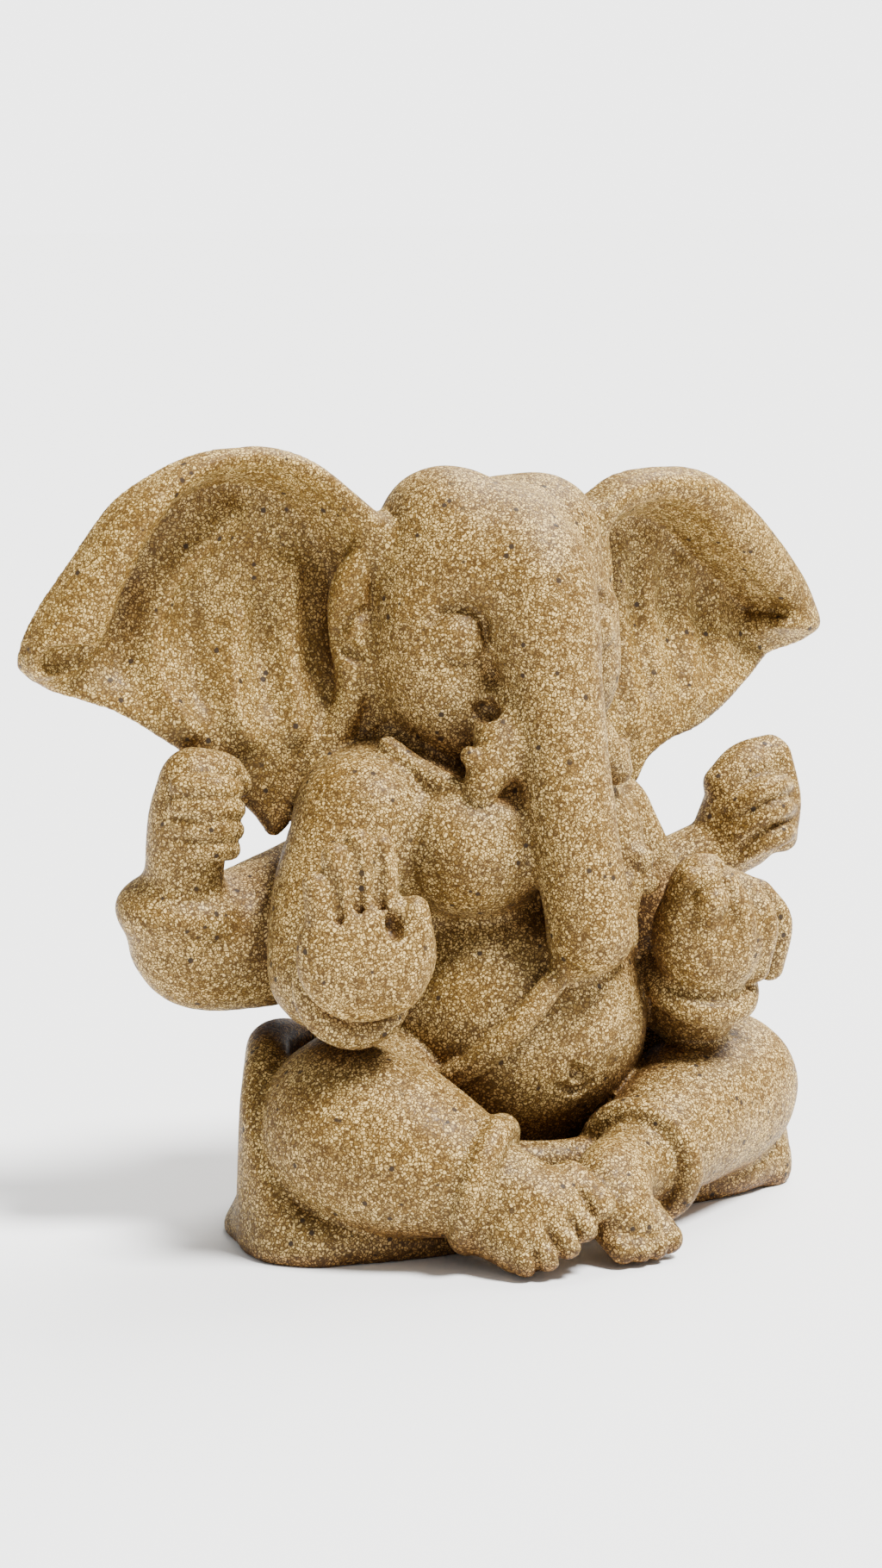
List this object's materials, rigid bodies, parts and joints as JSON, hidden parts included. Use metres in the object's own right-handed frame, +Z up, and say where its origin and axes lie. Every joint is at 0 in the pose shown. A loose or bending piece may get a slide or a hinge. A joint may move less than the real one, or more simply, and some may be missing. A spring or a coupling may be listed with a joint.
{
  "type": "ganesha idol",
  "caption": "Small seated elephant-headed devotional figure with four arms, crossed legs and wide ears, resting on a flat seat cloth.",
  "frame": {"origin": "middle of the figure's width on the flat underside of the seat cloth, below the belly", "axes": "+Z up, the figure looks along -Y, its own left hand is on the +X side"},
  "size_m": [0.0831, 0.0428, 0.0693],
  "materials": {
    "sand_resin": "satin sand-filled cast resin with fine cream, tan and brown grain",
    "thin_sand_resin": "the same sand-filled resin where it is thin and lets amber light through"
  },
  "bodies": {
    "root": {"seat_cloth": "sand_resin", "torso": "sand_resin", "waist_cloth": "sand_resin", "sacred_thread": "sand_resin", "necklace": "sand_resin", "right_leg": "sand_resin", "left_leg": "sand_resin", "right_anklet": "sand_resin", "left_anklet": "sand_resin", "right_foot": "sand_resin", "left_foot": "sand_resin", "head": "sand_resin", "trunk": "sand_resin", "right_ear": "thin_sand_resin", "left_ear": "thin_sand_resin", "right_tusk": "sand_resin", "left_tusk": "sand_resin", "front_right_arm": "sand_resin", "front_left_arm": "sand_resin", "rear_right_arm": "sand_resin", "rear_left_arm": "sand_resin", "front_right_bracelet": "sand_resin", "front_left_bracelet": "sand_resin", "rear_right_bracelet": "sand_resin", "front_right_hand": "sand_resin", "front_left_hand": "sand_resin", "rear_right_hand": "sand_resin", "rear_left_hand": "sand_resin", "sweet": "sand_resin"}
  },
  "joints": []
}
